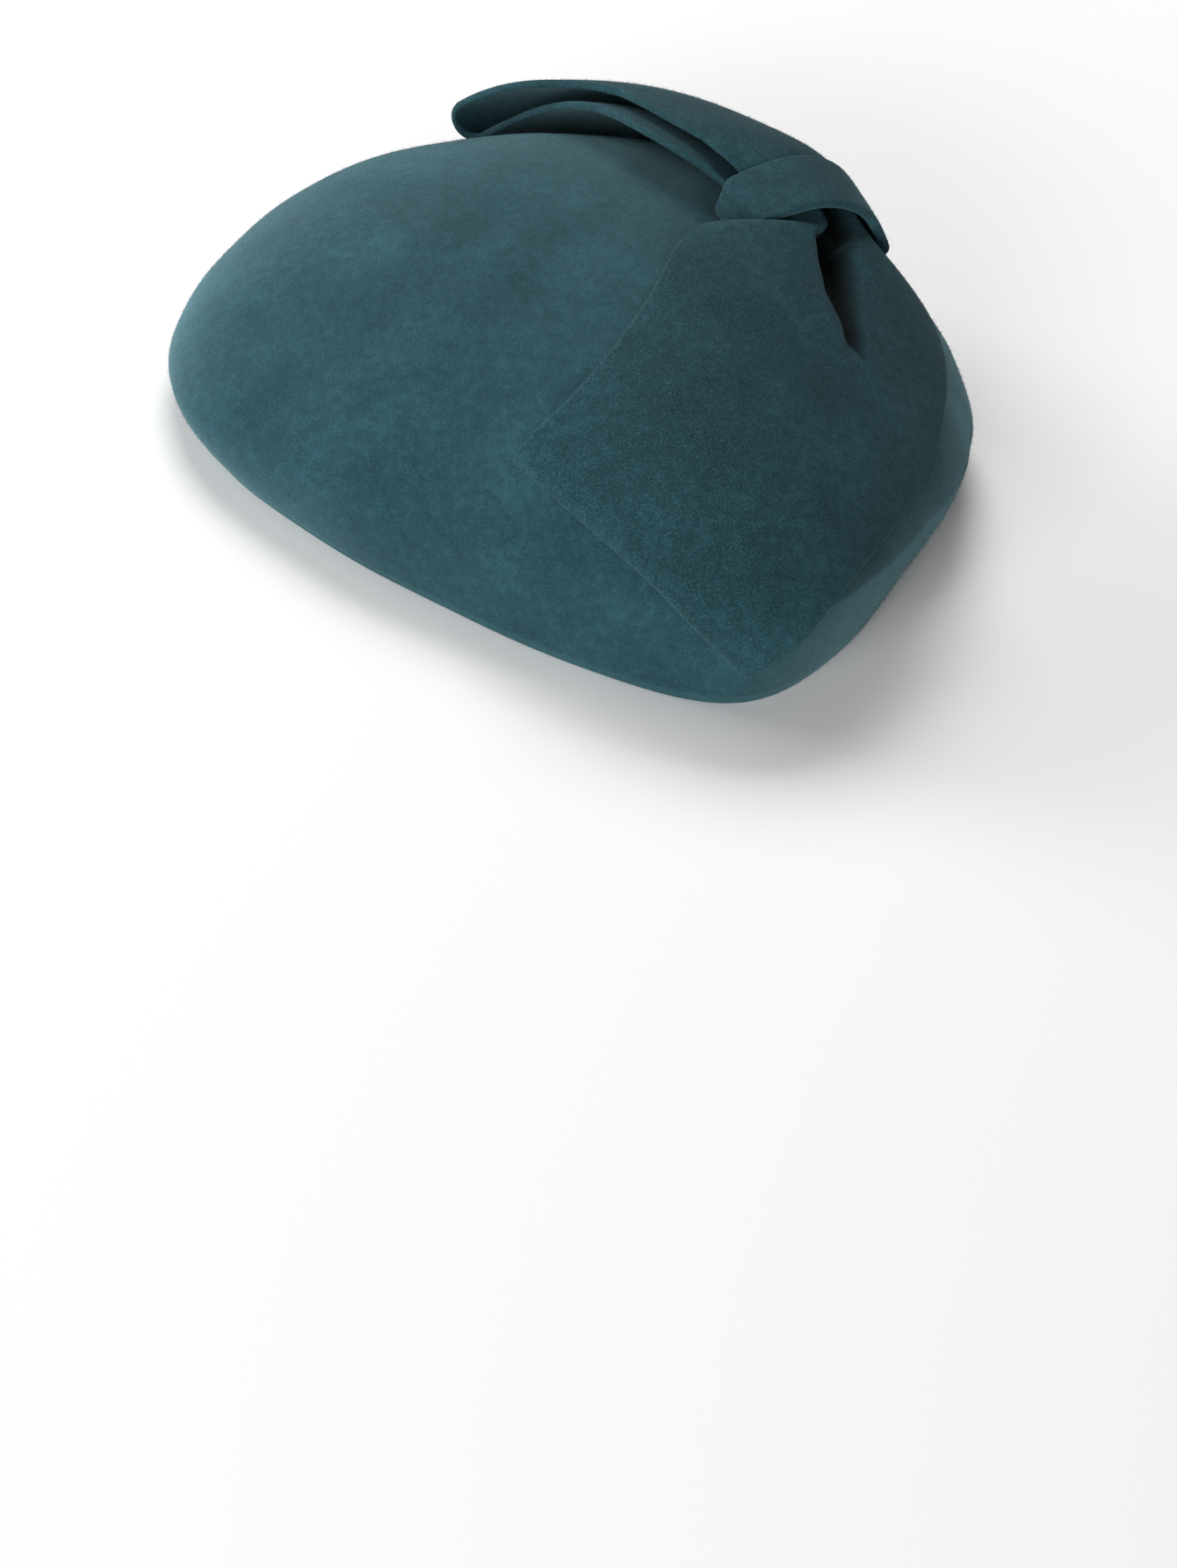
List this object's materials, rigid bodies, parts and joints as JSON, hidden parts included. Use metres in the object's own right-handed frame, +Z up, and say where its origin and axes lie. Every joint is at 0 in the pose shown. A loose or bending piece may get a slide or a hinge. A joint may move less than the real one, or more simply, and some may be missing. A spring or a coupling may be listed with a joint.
{
  "type": "felt pillbox hat with a bow",
  "caption": "Small blocked felt percher hat, open below for the head, with a folded felt bow held by a knot band on one side.",
  "frame": {"origin": "middle of the bottom of the hat's box, in the plane of the rim that it stands on", "axes": "+Z up from the rim, -Y towards the blunt point of the crown, +X towards the side that carries the bow"},
  "size_m": [0.19, 0.1922, 0.0767],
  "materials": {
    "crown_felt": "matt velour wool felt, teal",
    "bow_felt": "matt velour wool felt, teal",
    "band_felt": "matt velour wool felt, teal"
  },
  "bodies": {
    "root": {"crown": "crown_felt", "bow_strip": "bow_felt", "knot_band": "band_felt"}
  },
  "joints": []
}
